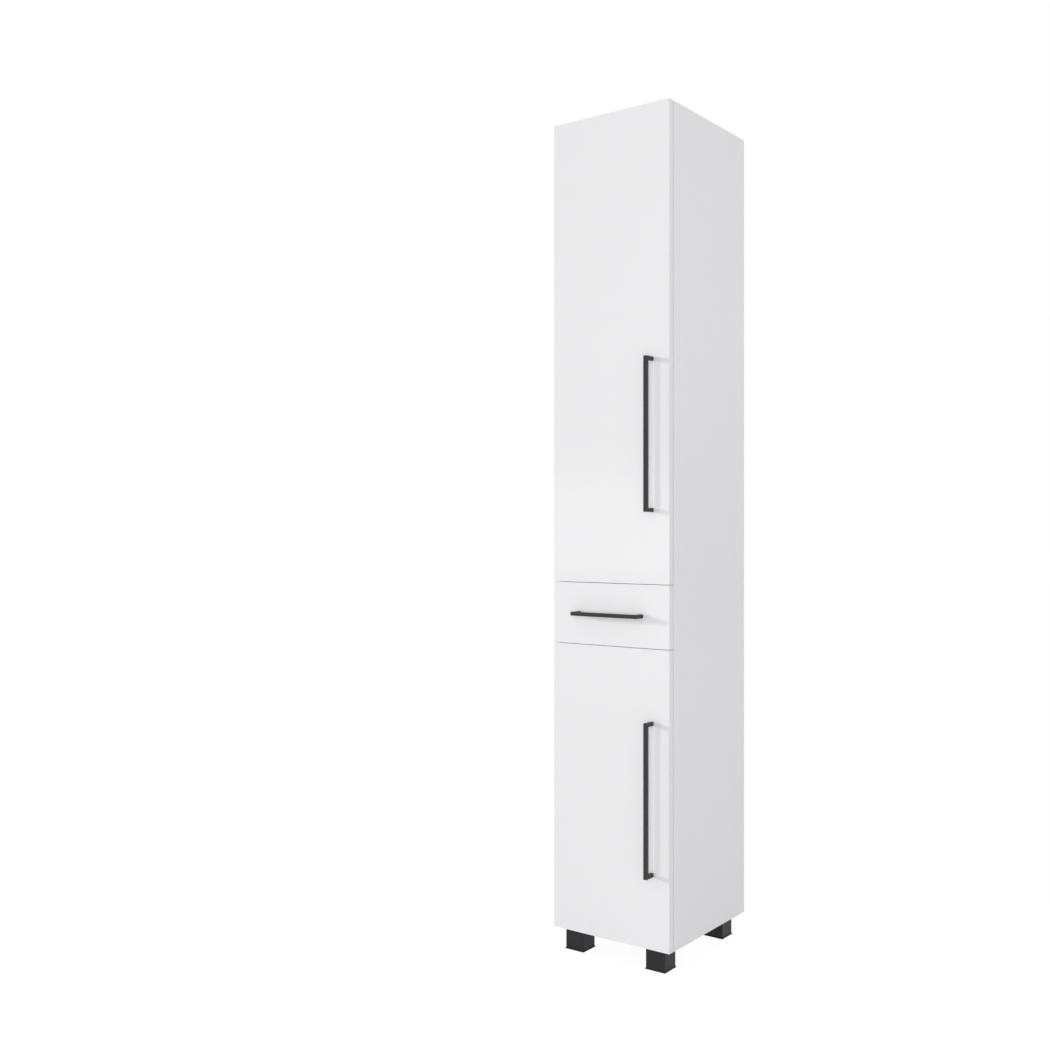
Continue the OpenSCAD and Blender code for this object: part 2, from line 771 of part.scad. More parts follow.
// The two screws that hold a handle, from behind
module handle_screws(pitch) {
  for (s = [-1, 1]) translate([0, door_back_y, s * pitch / 2]) rotate([90, 0, 0]) {
    difference() {
      translate([0, 0, -handle_head_h]) cylinder(h = handle_head_h, r = handle_head_r);
      cross_recess(-handle_head_h);
    }
    cylinder(h = front_t + post_in - 1, r = handle_screw_r);
  }
}
module upper_handle_screws() {
  color(zinc) translate([door_handle_x, 0, upper_handle_z]) handle_screws(door_post_pitch);
}
module lower_handle_screws() {
  color(zinc) translate([door_handle_x, 0, lower_handle_z]) handle_screws(door_post_pitch);
}
module drawer_handle_screws() {
  color(zinc) translate([0, 0, drawer_handle_z]) rotate([0, 90, 0]) handle_screws(drawer_post_pitch);
}

// Soft buttons that meet the carcass edges when a front is shut
module bumpers(xs, z0, z1) {
  color(clear_soft) for (x = xs) for (z = [z0 + bumper_end, z1 - bumper_end])
    rod_y([x, door_back_y, z], bumper_r, case_gap - bumper_clear);
}
module upper_bumpers() { bumpers([half_w - bumper_edge], upper_z0, upper_z1); }
module lower_bumpers() { bumpers([half_w - bumper_edge], lower_z0, lower_z1); }
module drawer_bumpers() { bumpers([-half_w + bumper_edge, half_w - bumper_edge], drawer_z0, drawer_z1); }

// Places of the screws between the box's inner front and the drawer front
module front_screw_places() {
  for (i = [-1, 1]) for (j = [-1, 1])
    translate([i * front_screw_x, door_back_y + box_t, box_z + box_h / 2 + j * front_screw_z])
      rotate([90, 0, 0]) children();
}

// Places of the screws through the left box side into the inner front and the back
module box_screw_places() {
  for (y = [door_back_y + box_t / 2, door_back_y + box_l - box_t / 2])
    for (z = [box_z + bottom_lift / 2, box_z + box_h - box_screw_top])
      translate([-box_w / 2, y, z]) rotate([0, 90, 0]) children();
}

module drawer_front() {
  color(white) difference() {
    front_board(drawer_z0, drawer_front_h);
    for (s = [-1, 1]) rod_y([s * drawer_post_pitch / 2, front_y - 1, drawer_handle_z],
      handle_screw_r + fit, front_t + 2);
    front_screw_places() cylinder(h = front_screw_l + bore_end, r = screw_r + snug);
  }
}

// Slot for the drawer bottom, all round
module bottom_slot() {
  w = box_w - 2 * box_t + 2 * box_groove;
  translate([-w / 2, door_back_y + box_t - box_groove, box_z + bottom_lift])
    cube([w, box_l - 2 * box_t + 2 * box_groove, hdf_t]);
}

module drawer_cross_board(y) {
  difference() {
    translate([-box_w / 2 + box_t, y, box_z]) cube([box_w - 2 * box_t, box_t, box_h]);
    bottom_slot();
    both_sides() box_screw_places() cylinder(h = box_screw_l + bore_end, r = screw_r + snug);
  }
}

module drawer_inner_front() {
  color(white) difference() {
    drawer_cross_board(door_back_y);
    for (s = [-1, 1])
      rod_y([s * drawer_post_pitch / 2, door_back_y - 1, drawer_handle_z], access_r, box_t + 2);
    front_screw_places() translate([0, 0, -1]) cylinder(h = box_t + 2, r = screw_r + snug);
  }
}

module drawer_back() {
  color(white) drawer_cross_board(door_back_y + box_l - box_t);
}

module box_side() {
  difference() {
    translate([-box_w / 2, door_back_y, box_z]) cube([box_t, box_l, box_h]);
    bottom_slot();
    box_screw_places() flat_screw_hole(box_screw_l);
    inner_screw_places() flat_screw_hole(inner_screw_l);
  }
}
module drawer_left_side() { color(white) box_side(); }
module drawer_right_side() { color(white) mirror([1, 0, 0]) box_side(); }

module drawer_bottom() {
  w = box_w - 2 * box_t + 2 * box_groove - 2 * hdf_play;
  color(white) translate([-w / 2, door_back_y + box_t - box_groove + hdf_play, box_z + bottom_lift])
    cube([w, box_l - 2 * box_t + 2 * box_groove - 2 * hdf_play, hdf_t]);
}

// Screws of the drawer: box corners, inner slides and the drawer front
module drawer_screws() {
  color(zinc) {
    both_sides() {
      box_screw_places() flat_screw(box_screw_l);
      inner_screw_places() flat_screw(inner_screw_l);
    }
    front_screw_places() pan_screw(front_screw_l);
  }
}

// Races for the balls, cut into a slide's section
module races(x, z) {
  for (s = [-1, 1]) translate([x, s * z]) circle(r = ball_r + race_clear);
}

// One member of a slide: a web and two flanges, drawn in X from the side panel and Z
module channel(web_x, x0, x1, z1, t) {
  translate([web_x, -z1]) square([sheet_t, 2 * z1]);
  for (s = [-1, 1]) translate([x0, s > 0 ? z1 - t : -z1]) square([x1 - x0, t]);
}

module slide_member(y0, len) {
  both_sides() translate([-in_x, 0, slide_z]) along_y(y0, len) children();
}

module outer_slides() {
  color(steel) difference() {
    slide_member(slide_y, slide_l) difference() {
      channel(0, 0, outer_depth, slide_h / 2, flange_thin);
      races(race1_x, race1_z);
    }
    both_sides() slide_screw_places() flat_screw_hole(slide_screw_l);
  }
}

module middle_slides() {
  color(steel) slide_member(slide_y, slide_l) difference() {
    channel(middle_x0, middle_x0, middle_x1, middle_z, flange_thick);
    races(race1_x, race1_z);
    races(race2_x, race2_z);
  }
}

module inner_slides() {
  color(steel) difference() {
    slide_member(slide_y, slide_l) difference() {
      channel(slide_t - sheet_t, inner_x0, slide_t, inner_z, flange_thin);
      races(race2_x, race2_z);
    }
    both_sides() inner_screw_places() flat_screw_hole(inner_screw_l);
  }
}

// A cage: a thin web with a rib above and below that spaces the balls
module ball_cages(web_x, x, z) {
  color(cage_plastic) difference() {
    slide_member(slide_y + cage_set, cage_l) {
      translate([web_x, -z - cage_rib / 2]) square([cage_t, 2 * z + cage_rib]);
      for (s = [-1, 1]) translate([web_x, s * z - cage_rib / 2])
        square([x + ball_r + cage_tip - web_x, cage_rib]);
    }
    ball_places(x, z) translate([0, 0, -ball_r]) cylinder(h = 2 * ball_r, r = ball_r + fit);
  }
}

module ball_places(x, z) {
  y0 = slide_y + cage_set + cage_l / 2 - (ball_count - 1) / 2 * ball_pitch;
  both_sides() for (i = [0:ball_count - 1]) for (s = [-1, 1])
    translate([-in_x + x, y0 + i * ball_pitch, slide_z + s * z]) children();
}
module outer_ball_cages() { ball_cages(sheet_t + slide_clear, race1_x, race1_z); }
module inner_ball_cages() { ball_cages(middle_x0 + sheet_t + slide_clear, race2_x, race2_z); }
module outer_balls() { color(steel) ball_places(race1_x, race1_z) sphere(r = ball_r); }
module inner_balls() { color(steel) ball_places(race2_x, race2_z) sphere(r = ball_r); }

left_side();
right_side();
top_panel();
bottom_panel();
upper_divider();
lower_divider();
back_panel();
upper_shelf_1();
upper_shelf_2();
upper_shelf_3();
lower_shelf();
shelf_pins();
cam_bolts();
cam_locks();
dowels();
wall_brackets();
case_screws();
front_left_leg();
front_right_leg();
back_left_leg();
back_right_leg();
front_left_foot();
front_right_foot();
back_left_foot();
back_right_foot();
hinge_plates();
upper_hinge_arms();
lower_hinge_arms();
hinge_arm_screws();
upper_door();
upper_hinge_cups();
upper_hinge_pins();
upper_cup_screws();
upper_handle();
upper_handle_screws();
upper_bumpers();
lower_door();
lower_hinge_cups();
lower_hinge_pins();
lower_cup_screws();
lower_handle();
lower_handle_screws();
lower_bumpers();
drawer_front();
drawer_inner_front();
drawer_left_side();
drawer_right_side();
drawer_back();
drawer_bottom();
drawer_handle();
drawer_handle_screws();
drawer_screws();
drawer_bumpers();
outer_slides();
middle_slides();
inner_slides();
outer_ball_cages();
outer_balls();
inner_ball_cages();
inner_balls();
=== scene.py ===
"""Looks of the tall bathroom cabinet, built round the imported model.

Metres, +Z up, the fronts face -Y. Boards, fronts, handles, legs and feet are modelled here
and stand for their CAD nodes; hinges, slides and fittings stay as packed and get materials.
"""

import json
import math

import bmesh
import bpy
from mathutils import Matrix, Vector


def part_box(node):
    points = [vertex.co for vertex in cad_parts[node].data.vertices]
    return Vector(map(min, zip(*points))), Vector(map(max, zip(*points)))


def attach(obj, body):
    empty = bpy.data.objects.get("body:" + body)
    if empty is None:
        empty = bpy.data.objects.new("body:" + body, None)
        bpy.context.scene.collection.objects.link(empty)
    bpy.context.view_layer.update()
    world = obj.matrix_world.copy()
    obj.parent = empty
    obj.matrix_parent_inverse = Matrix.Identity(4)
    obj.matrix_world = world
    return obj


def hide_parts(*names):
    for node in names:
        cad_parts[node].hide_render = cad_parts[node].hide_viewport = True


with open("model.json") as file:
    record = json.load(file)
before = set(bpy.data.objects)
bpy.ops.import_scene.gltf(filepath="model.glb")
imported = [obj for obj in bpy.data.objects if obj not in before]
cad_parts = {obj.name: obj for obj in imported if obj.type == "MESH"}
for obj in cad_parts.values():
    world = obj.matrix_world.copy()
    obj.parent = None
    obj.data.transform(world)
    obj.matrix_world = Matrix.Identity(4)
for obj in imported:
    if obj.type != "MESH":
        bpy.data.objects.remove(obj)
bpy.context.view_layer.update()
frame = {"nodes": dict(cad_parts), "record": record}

MM = 0.001
X, Y, Z = range(3)
BODY_OF = {n: b for b, ns in frame["record"]["behaviour"]["bodies"].items() for n in ns}
SLOT_OF = {s["node"]: s["material_slot"] for s in frame["record"]["subparts"]}
scene = bpy.context.scene


# Camera
CAMERA_PLACE = (1.41775, -2.36257, 0.96008)
CAMERA_TURN = 36.845
SENSOR_WIDTH = 36.0
FOCAL_LENGTH = 40.827
CLIP_END = 200.0


def make_camera():
    """A level camera, fitted to the straight edges in the photograph."""
    data = bpy.data.cameras.new("camera")
    data.sensor_width = SENSOR_WIDTH
    data.lens = FOCAL_LENGTH
    data.clip_end = CLIP_END
    camera = bpy.data.objects.new("camera", data)
    camera.location = CAMERA_PLACE
    camera.rotation_euler = (math.radians(90.0), 0.0, math.radians(CAMERA_TURN))
    scene.collection.objects.link(camera)
    scene.camera = camera


# Node helpers
class Tree:
    """Adds nodes to a material or world and links them."""

    def __init__(self, owner):
        owner.use_nodes = True
        self.nodes = owner.node_tree.nodes
        self.links = owner.node_tree.links
        self.nodes.clear()

    def add(self, kind, settings=None, **inputs):
        """Adds a node with its settings and inputs; an input's name has _ for each space."""
        node = self.nodes.new(kind)
        for key, value in (settings or {}).items():
            setattr(node, key, value)
        for key, value in inputs.items():
            self.set(node, key.replace("_", " "), value)
        return node

    def set(self, node, name, value):
        """Links a socket to the named input, or gives the input a plain value."""
        socket = node.inputs[int(name)] if name.isdigit() else node.inputs[name]
        if isinstance(value, bpy.types.NodeSocket):
            self.links.new(value, socket)
        else:
            socket.default_value = value

    def math(self, operation, a, b=0.0):
        node = self.add("ShaderNodeMath", {"operation": operation})
        self.set(node, "0", a)
        self.set(node, "1", b)
        return node.outputs[0]

    def ramp(self, value, low, high, to_low, to_high):
        """Maps a value from low and high to to_low and to_high, and holds it between them."""
        node = self.add("ShaderNodeMapRange", {"clamp": True}, Value=value)
        for name, number in (
            ("From Min", low),
            ("From Max", high),
            ("To Min", to_low),
            ("To Max", to_high),
        ):
            self.set(node, name, number)
        return node.outputs[0]

    def blend(self, factor, a, b):
        """Mixes two colours, a where the factor is 0 and b where it is 1."""
        node = self.add("ShaderNodeMix", {"data_type": "RGBA"})
        self.set(node, "0", factor)
        self.set(node, "6", a)
        self.set(node, "7", b)
        return node.outputs[2]

    def noise(self, place, scale, detail=2.0, roughness=0.5, stretch=None):
        """Fractal noise, drawn out along an axis where its stretch is small."""
        if stretch:
            place = self.add(
                "ShaderNodeMapping", {"vector_type": "POINT"}, Vector=place, Scale=stretch
            ).outputs[0]
        node = self.add(
            "ShaderNodeTexNoise",
            Vector=place,
            Scale=scale,
            Detail=detail,
            Roughness=roughness,
        )
        return node.outputs["Fac"]

    def normal_axis(self, axis):
        """One component of the object's own normal, by the axis' name."""
        normal = self.add("ShaderNodeTexCoord").outputs["Normal"]
        return self.add("ShaderNodeSeparateXYZ", Vector=normal).outputs[axis]


class Surface(Tree):
    """A new material with a principled shader, and its place on the object."""

    # The values between which most of a noise lies
    NOISE_LOW, NOISE_HIGH = 0.3, 0.7

    def __init__(self, name):
        self.material = bpy.data.materials.new(name)
        super().__init__(self.material)
        self.shader = self.add("ShaderNodeBsdfPrincipled")
        out = self.add("ShaderNodeOutputMaterial")
        self.links.new(self.shader.outputs[0], out.inputs[0])
        self.place = self.add("ShaderNodeTexCoord").outputs["Object"]

    def fix(self, name, value):
        """Sets an input of the shader that is the same all over the surface."""
        self.shader.inputs[name].default_value = value

    def colour(self, factor, low, high):
        self.set(self.shader, "Base Color", self.blend(factor, low, high))

    def spread(self, noise, low, high):
        """Spreads a noise over a range of roughness."""
        return self.ramp(noise, self.NOISE_LOW, self.NOISE_HIGH, low, high)

    def rough(self, noise, low, high):
        self.set(self.shader, "Roughness", self.spread(noise, low, high))

    def bump(self, height, distance):
        node = self.add("ShaderNodeBump", Height=height, Distance=distance, Strength=1.0)
        self.set(self.shader, "Normal", node.outputs[0])


def rgb(r, g, b):
    return (r, g, b, 1.0)


def grey(v, blue=0.0):
    return (v, v, v + blue, 1.0)


# Materials
def gloss_white():
    """Lacquered front: even white, a clear gloss with a faint orange peel, satin edges with a
    painted shade, coloured darker than the faces.
    """
    s = Surface("gloss_white")
    drift = s.noise(s.place, scale=2.5)
    faces = s.blend(drift, rgb(0.816, 0.814, 0.827), rgb(0.828, 0.826, 0.841))
    # 1 on the edges, which face sideways, and 0 on the two large faces; it makes the edges satin
    # and paints a shade on them
    satin_and_shade_edge = s.ramp(s.math("ABSOLUTE", s.normal_axis("Y")), 0.1, 0.5, 1.0, 0.0)
    # Painted shade: the sideways edges are coloured a darker white than the faces
    s.colour(satin_and_shade_edge, faces, rgb(0.765, 0.760, 0.780))
    shine = s.spread(s.noise(s.place, scale=45.0, detail=3.0), 0.06, 0.10)
    satin = s.math("MULTIPLY", satin_and_shade_edge, 0.3)
    s.set(s.shader, "Roughness", s.math("MAXIMUM", shine, satin))
    s.bump(s.noise(s.place, scale=160.0, roughness=0.45), 0.004 * MM)
    s.fix("IOR", 1.5)
    s.fix("Coat Weight", 0.6)
    s.fix("Coat Roughness", 0.04)
    return s.material


def board_white():
    """Melamine-faced board: white with a fine pearl texture and a satin sheen."""
    s = Surface("board_white")
    drift = s.noise(s.place, scale=4.0, detail=3.0)
    s.colour(drift, rgb(0.806, 0.799, 0.820), rgb(0.822, 0.815, 0.837))
    s.rough(s.noise(s.place, scale=70.0, detail=3.0), 0.34, 0.42)
    s.bump(s.noise(s.place, scale=1300.0, roughness=0.6), 0.01 * MM)
    return s.material


def thin_board(name, axis, raw_side):
    """Thin fibreboard: lacquered white on one face, raw brown fibre on the other and the edges.

    The raw face looks along the axis, to its positive side for 1 and its negative for -1.
    """
    s = Surface(name)
    toward_raw = s.math("MULTIPLY", s.normal_axis(axis), raw_side)
    raw = s.ramp(toward_raw, -0.6, -0.2, 0.0, 1.0)
    fibre = s.noise(s.place, scale=260.0, detail=6.0, roughness=0.7)
    fleck = s.noise(s.place, scale=38.0, detail=4.0, roughness=0.6)
    both = s.math("MULTIPLY", fibre, fleck)
    brown = s.blend(both, rgb(0.19, 0.115, 0.058), rgb(0.62, 0.45, 0.28))
    s.colour(raw, grey(0.80, 0.012), brown)
    s.set(s.shader, "Roughness", s.ramp(raw, 0.0, 1.0, 0.40, 0.78))
    s.bump(s.math("MULTIPLY", fibre, raw), 0.12 * MM)
    return s.material


def powder_black():
    """Matt black powder coat with its fine grain and a slight mottle."""
    s = Surface("powder_black")
    mottle = s.noise(s.place, scale=55.0, detail=3.0, roughness=0.6)
    s.colour(mottle, grey(0.014, 0.001), grey(0.021, 0.0015))
    s.rough(mottle, 0.40, 0.52)
    s.fix("Specular IOR Level", 0.45)
    s.bump(s.noise(s.place, scale=1900.0, roughness=0.6), 0.035 * MM)
    return s.material


def moulded_black():
    """Black moulded plastic with a spark-eroded texture."""
    s = Surface("moulded_black")
    grain = s.noise(s.place, scale=1100.0, detail=3.0, roughness=0.7)
    s.colour(s.noise(s.place, scale=40.0), grey(0.018, 0.002), grey(0.026, 0.003))
    s.rough(grain, 0.36, 0.50)
    s.fix("Specular IOR Level", 0.18)
    s.bump(grain, 0.05 * MM)
    return s.material


def metal(name, low, high, rough_low, rough_high, stretch):
    """Plated or polished steel, a little cloudy, brushed along the axis of small stretch."""
    s = Surface(name)
    brushed = s.noise(s.place, scale=500.0, detail=4.0, roughness=0.6, stretch=stretch)
    s.colour(s.noise(s.place, scale=28.0, detail=4.0, roughness=0.6), low, high)
    s.rough(brushed, rough_low, rough_high)
    s.bump(brushed, 0.006 * MM)
    s.fix("Metallic", 1.0)
    return s.material


def cage_white():
    """Slightly yellow moulded plastic of the ball cages."""
    s = Surface("cage_white")
    s.colour(s.noise(s.place, scale=60.0), rgb(0.70, 0.69, 0.62), rgb(0.76, 0.75, 0.69))
    s.rough(s.noise(s.place, scale=900.0), 0.42, 0.55)
    return s.material


def raw_beech():
    """Bare beech with its short dark flecks along the grain."""
    s = Surface("raw_beech")
    along_x = (0.08, 1.0, 1.0)
    grain = s.noise(s.place, scale=300.0, detail=4.0, roughness=0.65, stretch=along_x)
    s.colour(grain, rgb(0.40, 0.25, 0.13), rgb(0.66, 0.47, 0.29))
    s.rough(grain, 0.60, 0.75)
    s.bump(grain, 0.05 * MM)
    return s.material


def soft_clear():
    """Soft translucent bumper."""
    s = Surface("soft_clear")
    s.colour(s.noise(s.place, scale=200.0), grey(0.66, 0.01), grey(0.74, 0.01))
    s.rough(s.noise(s.place, scale=400.0), 0.18, 0.28)
    s.fix("Subsurface Weight", 0.3)
    s.fix("Subsurface Scale", 2 * MM)
    return s.material


def make_materials():
    """The material of each slot of the record, and of the two thin boards."""
    even, along_y = (1.0, 1.0, 1.0), (1.0, 0.03, 1.0)
    zinc = grey(0.50, 0.015), grey(0.62, 0.02)
    nickel = rgb(0.60, 0.58, 0.55), rgb(0.70, 0.68, 0.65)
    slide = grey(0.52, 0.02), grey(0.64, 0.025)
    ball = grey(0.70, 0.01), grey(0.76, 0.01)
    return {
        "white_front": gloss_white(),
        "white_board": board_white(),
        "black_metal": powder_black(),
        "black_plastic": moulded_black(),
        "zinc": metal("zinc_plate", *zinc, 0.28, 0.42, even),
        "nickel_steel": metal("nickel_plate", *nickel, 0.20, 0.30, along_y),
        "slide_steel": metal("slide_plate", *slide, 0.24, 0.36, along_y),
        "ball_steel": metal("ball_polish", *ball, 0.06, 0.12, even),
        "cage_plastic": cage_white(),
        "beech": raw_beech(),
        "clear_soft": soft_clear(),
        "back": thin_board("back_fibreboard", "Y", 1.0),
        "bottom": thin_board("bottom_fibreboard", "Z", -1.0),
    }


# Mesh helpers
def to_mesh(name, bm):
    """Turns mesh data into a mesh whose faces look outwards."""
    bmesh.ops.recalc_face_normals(bm, faces=bm.faces)
    mesh = bpy.data.meshes.new(name)
    bm.to_mesh(mesh)
    bm.free()
    return mesh


def bevel(bm, edges, radius, segments=3):
    """Rounds the given edges."""
    bmesh.ops.bevel(
        bm, geom=edges, offset=radius, segments=segments, profile=0.5, affect="EDGES"
    )


def plain_box(lo, hi):
    bm = bmesh.new()
    bmesh.ops.create_cube(bm, size=1.0)
    bmesh.ops.scale(bm, vec=Vector(hi) - Vector(lo), verts=bm.verts)
    bmesh.ops.translate(bm, vec=(Vector(lo) + Vector(hi)) / 2, verts=bm.verts)
    return bm


def rounded_box(lo, hi, radius, segments=3):
    """A box with all its edges rounded."""
    bm = plain_box(lo, hi)
    bevel(bm, bm.edges[:], radius, segments)
    return bm


def rounded_outline(w, h, radius, steps):
    """Points of a rounded rectangle about the origin, anticlockwise."""
    points = []
    for k, (sx, sy) in enumerate(((1, 1), (-1, 1), (-1, -1), (1, -1))):
        for i in range(steps + 1):
            a = math.radians(90.0 * (k + i / steps))
            x = sx * (w / 2 - radius) + radius * math.cos(a)
            y = sy * (h / 2 - radius) + radius * math.sin(a)
            points.append((x, y))
    return points


def loft(rings):
    """Joins rings of equally many points into a skin, with flat ends."""
    bm = bmesh.new()
    loops = [[bm.verts.new(p) for p in ring] for ring in rings]
    for a, b in zip(loops, loops[1:]):
        for i in range(len(a)):
            j = (i + 1) % len(a)
            bm.faces.new((a[i], a[j], b[j], b[i]))
    bm.faces.new(loops[0])
    bm.faces.new(loops[-1])
    return bm


def arc(count):
    """The angles of a quarter turn in equal steps."""
    return [math.radians(90.0 * i / count) for i in range(count + 1)]


def round_inset(depth, radius):
    """How far a rounded edge draws in at a depth under the face that it borders."""
    left = max(radius - depth, 0.0)
    return radius - math.sqrt(radius * radius - left * left)


def front_panel(lo, hi, front_r, rear_r, left_r, corner_r):
    """A door or drawer front with rounded edges; its rear edge on the left may be rounder."""
    steps, least_corner = 6, 0.05 * MM
    ys = {lo[1] + front_r * (1 - math.cos(a)) for a in arc(steps)}
    for radius in (rear_r, left_r):
        ys |= {hi[1] - radius * (1 - math.cos(a)) for a in arc(steps)}
    rings = []
    for y in sorted(ys):
        front = round_inset(y - lo[1], front_r)
        inset = max(front, round_inset(hi[1] - y, rear_r))
        left = max(front, round_inset(hi[1] - y, left_r))
        x0, x1, z0, z1 = lo[0] + left, hi[0] - inset, lo[2] + inset, hi[2] - inset
        points = rounded_outline(x1 - x0, z1 - z0, max(corner_r - inset, least_corner), steps)
        rings.append([((x0 + x1) / 2 + x, y, (z0 + z1) / 2 + z) for x, z in points])
    return loft(rings)


def rod(axis, centre, radius, lo, hi, count=48):
    """A cylinder along one axis, from lo to hi, round centre."""
    rings = []
    for end in (lo, hi):
        ring = []
        for i in range(count):
            a = 2 * math.pi * i / count
            p = list(centre)
            p[axis] = end
            p[(axis + 1) % 3] += radius * math.cos(a)
            p[(axis + 2) % 3] += radius * math.sin(a)
            ring.append(p)
        rings.append(ring)
    return loft(rings)


def cut(mesh, cutters):
    """Takes the cutters' volume out of the mesh."""
    base = bpy.data.objects.new("cut_base", mesh)
    scene.collection.objects.link(base)
    tools = []
    for i, bm in enumerate(cutters):
        tool = bpy.data.objects.new("cut_tool", to_mesh("cut_tool", bm))
        scene.collection.objects.link(tool)
        modifier = base.modifiers.new(f"cut_{i}", "BOOLEAN")
        modifier.object = tool
        modifier.operation = "DIFFERENCE"
        modifier.solver = "EXACT"
        tools.append(tool)
    graph = bpy.context.evaluated_depsgraph_get()
    made = bpy.data.meshes.new_from_object(base.evaluated_get(graph))
    for obj in (base, *tools):
        data = obj.data
        bpy.data.objects.remove(obj)
        bpy.data.meshes.remove(data)
    return made


def piece(name, mesh, material, body, nodes=(), smooth=40.0):
    """A finished piece: shaded, riding on its body and standing for its CAD nodes."""
    mesh.name = name
    obj = bpy.data.objects.new(name, mesh)
    scene.collection.objects.link(obj)
    mesh.materials.clear()
    mesh.materials.append(material)
    mesh.shade_smooth()
    mesh.set_sharp_from_angle(angle=math.radians(smooth))
    weight = obj.modifiers.new("face_weight", "WEIGHTED_NORMAL")
    weight.keep_sharp = True
    weight.weight = 100
    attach(obj, body)
    if nodes:
        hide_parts(*nodes)


def stand_in(node, mesh, materials):
    """A piece that takes its name, body and slot from the CAD node it stands for."""
    slot = SLOT_OF[node]
    piece(node + "_look", mesh, materials[slot], BODY_OF[node], [node])


# Pieces
# Radii of soft edges: boards; the fronts' face, rear, hinge edge and corners; handles
BOARD_EDGE = 0.4 * MM
FRONT_R = 0.45 * MM
REAR_R = 1.0 * MM
HINGE_R = 4.0 * MM
FRONT_CORNER = 1.2 * MM
HANDLE_R = 0.7 * MM
# How much wider than the back panel its grooves are, and how far a cutter sticks out
GROOVE_ROOM = 0.5 * MM
BEYOND = 1.0 * MM
# A cam's own radius, its bore, and how far from the end of its board it sits
CAM_R = 7.4 * MM
CAM_BORE_R = 7.5 * MM
CAM_BORE_DEPTH = 13.5 * MM
CAM_REACH = 24.0 * MM
# A hinge cup's own radius, and its bore
CUP_R = 17.5 * MM
CUP_BORE_R = 17.6 * MM
# A gap in height that parts two hinges
HINGES_APART = 0.1


def sides(m):
    """Side panels, each with a groove for the back panel."""
    back_lo, back_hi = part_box("back_panel")
    for node in ("left_side", "right_side"):
        lo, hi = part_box(node)
        mesh = to_mesh(node, rounded_box(lo, hi, BOARD_EDGE))
        if node == "left_side":
            x0, x1 = max(lo[0], back_lo[0] - GROOVE_ROOM), hi[0] + BEYOND
        else:
            x0, x1 = lo[0] - BEYOND, min(hi[0], back_hi[0] + GROOVE_ROOM)
        z0, z1 = back_lo[2] - GROOVE_ROOM, back_hi[2] + GROOVE_ROOM
        groove = plain_box((x0, back_lo[1], z0), (x1, back_hi[1], z1))
        stand_in(node, cut(mesh, [groove]), m)


def fixed_boards(m):
    """Top, bottom and dividers: bores for the cams, and grooves for the back panel."""
    back_lo, back_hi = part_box("back_panel")
    cam_lo, cam_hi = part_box("cam_locks")
    cam_ys = (cam_lo[1] + CAM_R, cam_hi[1] - CAM_R)
    for node in ("top_panel", "bottom_panel", "upper_divider", "lower_divider"):
        lo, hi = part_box(node)
        mesh = to_mesh(node, rounded_box(lo, hi, BOARD_EDGE, 2))
        bore = lo[2] - BEYOND, lo[2] + CAM_BORE_DEPTH
        tools = [
            rod(Z, (x, y, 0), CAM_BORE_R, *bore)
            for x in (lo[0] + CAM_REACH, hi[0] - CAM_REACH)
            for y in cam_ys
        ]
        groove_z = {
            "top_panel": (lo[2] - BEYOND, back_hi[2] + GROOVE_ROOM),
            "bottom_panel": (back_lo[2] - GROOVE_ROOM, hi[2] + BEYOND),
        }.get(node)
        if groove_z:
            x0, x1 = lo[0] - BEYOND, hi[0] + BEYOND
            z0, z1 = groove_z
            tools.append(plain_box((x0, back_lo[1], z0), (x1, back_hi[1], z1)))
        stand_in(node, cut(mesh, tools), m)


def shelves(m):
    for node in ("upper_shelf_1", "upper_shelf_2", "upper_shelf_3", "lower_shelf"):
        lo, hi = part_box(node)
        stand_in(node, to_mesh(node, rounded_box(lo, hi, BOARD_EDGE)), m)


def fronts(m):
    """Doors and drawer front; the doors have bores for the cups of their hinges."""
    cups_of = {"upper_door": "upper_hinge_cups", "lower_door": "lower_hinge_cups"}
    for node in ("upper_door", "lower_door", "drawer_front"):
        cups = cups_of.get(node)
        lo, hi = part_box(node)
        left_r = HINGE_R if cups else REAR_R
        mesh = to_mesh(node, front_panel(lo, hi, FRONT_R, REAR_R, left_r, FRONT_CORNER))
        if cups:
            cup_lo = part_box(cups)[0]
            cup_x, bore = cup_lo[0] + CUP_R, (cup_lo[1], hi[1] + BEYOND)
            tools = [
                rod(Y, (cup_x, 0, z), CUP_BORE_R, *bore, count=64) for z in hinge_heights(cups)
            ]
            mesh = cut(mesh, tools)
        stand_in(node, mesh, m)


def hinge_heights(node):
    """Middle height of each solid of a hinge node, from its vertices."""
    zs = sorted(v.co.z for v in frame["nodes"][node].data.vertices)
    groups = [[zs[0]]]
    for z in zs[1:]:
        if z - groups[-1][-1] > HINGES_APART:
            groups.append([z])
        else:
            groups[-1].append(z)
    return [(g[0] + g[-1]) / 2 for g in groups]


def bar_handle(lo, hi, along):
    """A square bar bent back into a post at each end, with softly rounded edges."""
    across = X if along == Z else Z
    bar = hi[across] - lo[across]
    a0, a1 = lo[along], hi[along]
    outer, inner = lo[1], hi[1]
    outline = [
        (a0, inner), (a0, outer), (a1, outer), (a1, inner),
        (a1 - bar, inner), (a1 - bar, outer + bar), (a0 + bar, outer + bar), (a0 + bar, inner),
    ]
    rings = []
    for c in (lo[across], hi[across]):
        ring = []
        for a, y in outline:
            p = [0.0, y, 0.0]
            p[along], p[across] = a, c
            ring.append(p)
        rings.append(ring)
    bm = loft(rings)
    bmesh.ops.recalc_face_normals(bm, faces=bm.faces)
    near = 0.001 * MM
    edges = [e for e in bm.edges if not all(abs(v.co.y - inner) < near for v in e.verts)]
    bevel(bm, edges, HANDLE_R)
    return bm


def handles(m):
    for node, along in (("upper_handle", Z), ("lower_handle", Z), ("drawer_handle", X)):
        lo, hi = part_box(node)
        stand_in(node, to_mesh(node, bar_handle(lo, hi, along)), m)


